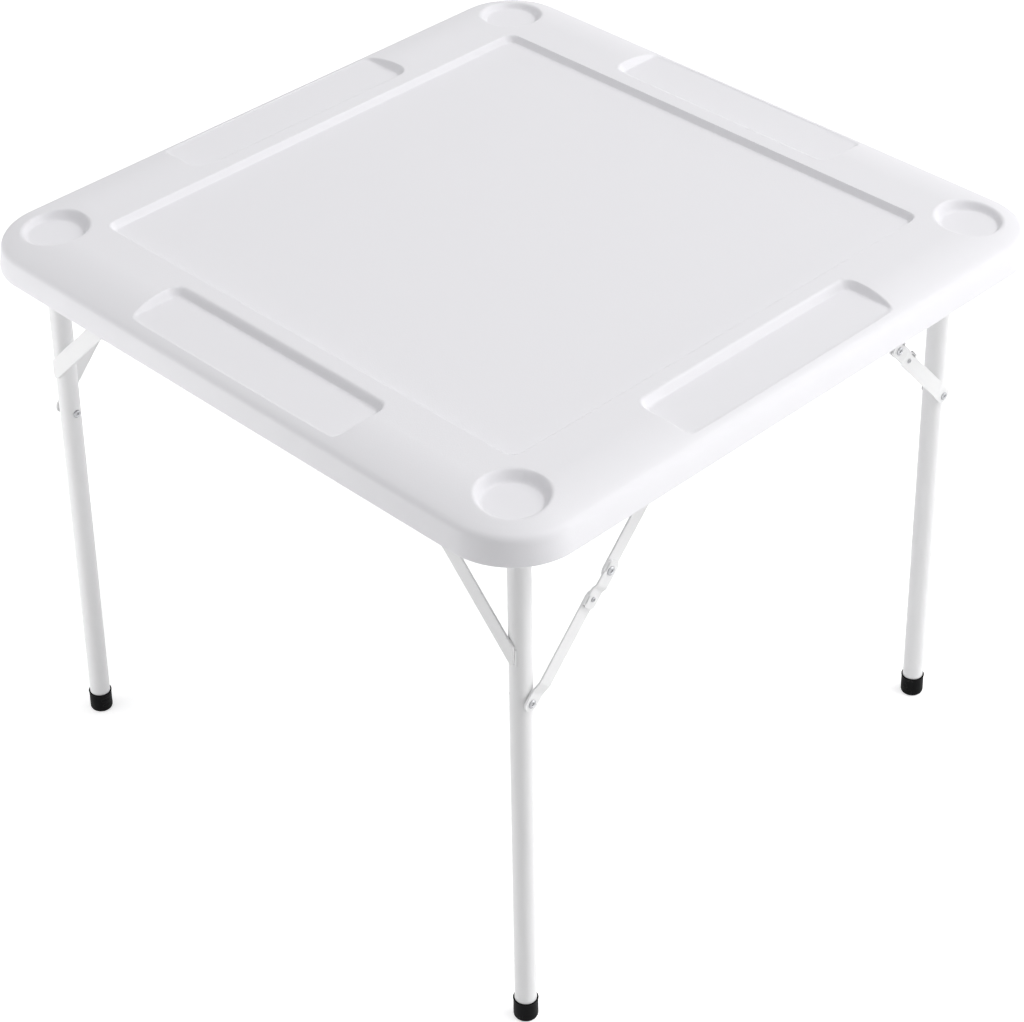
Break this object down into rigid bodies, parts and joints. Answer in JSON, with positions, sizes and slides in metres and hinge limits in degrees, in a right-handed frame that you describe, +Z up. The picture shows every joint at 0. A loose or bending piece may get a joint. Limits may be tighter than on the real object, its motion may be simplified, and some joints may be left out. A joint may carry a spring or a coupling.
{
  "type": "folding card table",
  "caption": "Square folding card table with a sunk playing field, corner cup holders, chip trays along the sides and tubular legs that fold flat under the top.",
  "frame": {"origin": "floor level under the middle of the top", "axes": "+Z up; the front leg frame, the wider one, is on the -Y side; the legs fold towards the middle about X"},
  "size_m": [0.8794, 0.8794, 0.723],
  "materials": {
    "moulded_white": "fine moulded texture",
    "white_paint": "powder coat",
    "black_plastic": "smooth",
    "zinc_steel": "zinc plated"
  },
  "bodies": {
    "table": {"table_top": "moulded_white", "saddle_front_left": "zinc_steel", "brace_bracket_front_left": "zinc_steel", "saddle_front_right": "zinc_steel", "brace_bracket_front_right": "zinc_steel", "saddle_back_left": "zinc_steel", "brace_bracket_back_left": "zinc_steel", "saddle_back_right": "zinc_steel", "brace_bracket_back_right": "zinc_steel", "saddle_screws": "zinc_steel", "bracket_screws": "zinc_steel", "bracket_rivets": "zinc_steel"},
    "front_frame": {"cross_tube_front": "white_paint", "cross_tube_plugs_front": "black_plastic", "leg_rivets_front": "zinc_steel", "leg_front_left": "white_paint", "foot_front_left": "black_plastic", "gusset_front_left": "white_paint", "leg_front_right": "white_paint", "foot_front_right": "black_plastic", "gusset_front_right": "white_paint"},
    "upper_front_left": {"brace_upper_front_left": "white_paint"},
    "plate_front_left": {"lock_plate_front_left": "white_paint", "elbow_rivet_front_left": "zinc_steel", "plate_rivet_front_left": "zinc_steel"},
    "lower_front_left": {"brace_lower_front_left": "white_paint", "brace_rivet_head_front_left": "zinc_steel"},
    "upper_front_right": {"brace_upper_front_right": "white_paint"},
    "plate_front_right": {"lock_plate_front_right": "white_paint", "elbow_rivet_front_right": "zinc_steel", "plate_rivet_front_right": "zinc_steel"},
    "lower_front_right": {"brace_lower_front_right": "white_paint", "brace_rivet_head_front_right": "zinc_steel"},
    "back_frame": {"cross_tube_back": "white_paint", "cross_tube_plugs_back": "black_plastic", "leg_rivets_back": "zinc_steel", "leg_back_left": "white_paint", "foot_back_left": "black_plastic", "gusset_back_left": "white_paint", "leg_back_right": "white_paint", "foot_back_right": "black_plastic", "gusset_back_right": "white_paint"},
    "upper_back_left": {"brace_upper_back_left": "white_paint"},
    "plate_back_left": {"lock_plate_back_left": "white_paint", "elbow_rivet_back_left": "zinc_steel", "plate_rivet_back_left": "zinc_steel"},
    "lower_back_left": {"brace_lower_back_left": "white_paint", "brace_rivet_head_back_left": "zinc_steel"},
    "upper_back_right": {"brace_upper_back_right": "white_paint"},
    "plate_back_right": {"lock_plate_back_right": "white_paint", "elbow_rivet_back_right": "zinc_steel", "plate_rivet_back_right": "zinc_steel"},
    "lower_back_right": {"brace_lower_back_right": "white_paint", "brace_rivet_head_back_right": "zinc_steel"}
  },
  "joints": [
    {"name": "front_fold", "type": "hinge", "parent": "table", "child": "front_frame", "pos_m": [0, -0.3684, 0.6732], "axis": [1, 0, 0], "range_deg": [0, 90.63]},
    {"name": "upper_front_left_hinge", "type": "hinge", "parent": "table", "child": "upper_front_left", "pos_m": [-0.3987, -0.1814, 0.6752], "axis": [1, 0, 0], "range_deg": [-47.97, 0]},
    {"name": "plate_front_left_hinge", "type": "hinge", "parent": "upper_front_left", "child": "plate_front_left", "pos_m": [-0.3987, -0.26289, 0.5848], "axis": [1, 0, 0], "range_deg": [0, 124.12]},
    {"name": "lower_front_left_hinge", "type": "hinge", "parent": "plate_front_left", "child": "lower_front_left", "pos_m": [-0.3987, -0.28632, 0.5588], "axis": [1, 0, 0], "range_deg": [0, 68.25]},
    {"name": "upper_front_right_hinge", "type": "hinge", "parent": "table", "child": "upper_front_right", "pos_m": [0.3987, -0.1814, 0.6752], "axis": [1, 0, 0], "range_deg": [-47.97, 0]},
    {"name": "plate_front_right_hinge", "type": "hinge", "parent": "upper_front_right", "child": "plate_front_right", "pos_m": [0.3987, -0.26289, 0.5848], "axis": [1, 0, 0], "range_deg": [0, 124.12]},
    {"name": "lower_front_right_hinge", "type": "hinge", "parent": "plate_front_right", "child": "lower_front_right", "pos_m": [0.3987, -0.28632, 0.5588], "axis": [1, 0, 0], "range_deg": [0, 68.25]},
    {"name": "back_fold", "type": "hinge", "parent": "table", "child": "back_frame", "pos_m": [0, 0.3684, 0.6752], "axis": [-1, 0, 0], "range_deg": [0, 90.63]},
    {"name": "upper_back_left_hinge", "type": "hinge", "parent": "table", "child": "upper_back_left", "pos_m": [-0.3577, 0.1814, 0.6772], "axis": [-1, 0, 0], "range_deg": [-47.97, 0]},
    {"name": "plate_back_left_hinge", "type": "hinge", "parent": "upper_back_left", "child": "plate_back_left", "pos_m": [-0.3577, 0.26289, 0.5868], "axis": [-1, 0, 0], "range_deg": [0, 124.12]},
    {"name": "lower_back_left_hinge", "type": "hinge", "parent": "plate_back_left", "child": "lower_back_left", "pos_m": [-0.3577, 0.28632, 0.5608], "axis": [-1, 0, 0], "range_deg": [0, 68.25]},
    {"name": "upper_back_right_hinge", "type": "hinge", "parent": "table", "child": "upper_back_right", "pos_m": [0.3577, 0.1814, 0.6772], "axis": [-1, 0, 0], "range_deg": [-47.97, 0]},
    {"name": "plate_back_right_hinge", "type": "hinge", "parent": "upper_back_right", "child": "plate_back_right", "pos_m": [0.3577, 0.26289, 0.5868], "axis": [-1, 0, 0], "range_deg": [0, 124.12]},
    {"name": "lower_back_right_hinge", "type": "hinge", "parent": "plate_back_right", "child": "lower_back_right", "pos_m": [0.3577, 0.28632, 0.5608], "axis": [-1, 0, 0], "range_deg": [0, 68.25]}
  ],
  "couplings": [
    {"joint": "upper_front_left_hinge", "follows": "front_fold", "ratio": -0.52927},
    {"joint": "plate_front_left_hinge", "follows": "front_fold", "ratio": 1.3695},
    {"joint": "lower_front_left_hinge", "follows": "front_fold", "ratio": 0.75302},
    {"joint": "upper_front_right_hinge", "follows": "front_fold", "ratio": -0.52927},
    {"joint": "plate_front_right_hinge", "follows": "front_fold", "ratio": 1.3695},
    {"joint": "lower_front_right_hinge", "follows": "front_fold", "ratio": 0.75302},
    {"joint": "upper_back_left_hinge", "follows": "back_fold", "ratio": -0.52927},
    {"joint": "plate_back_left_hinge", "follows": "back_fold", "ratio": 1.3695},
    {"joint": "lower_back_left_hinge", "follows": "back_fold", "ratio": 0.75302},
    {"joint": "upper_back_right_hinge", "follows": "back_fold", "ratio": -0.52927},
    {"joint": "plate_back_right_hinge", "follows": "back_fold", "ratio": 1.3695},
    {"joint": "lower_back_right_hinge", "follows": "back_fold", "ratio": 0.75302}
  ]
}
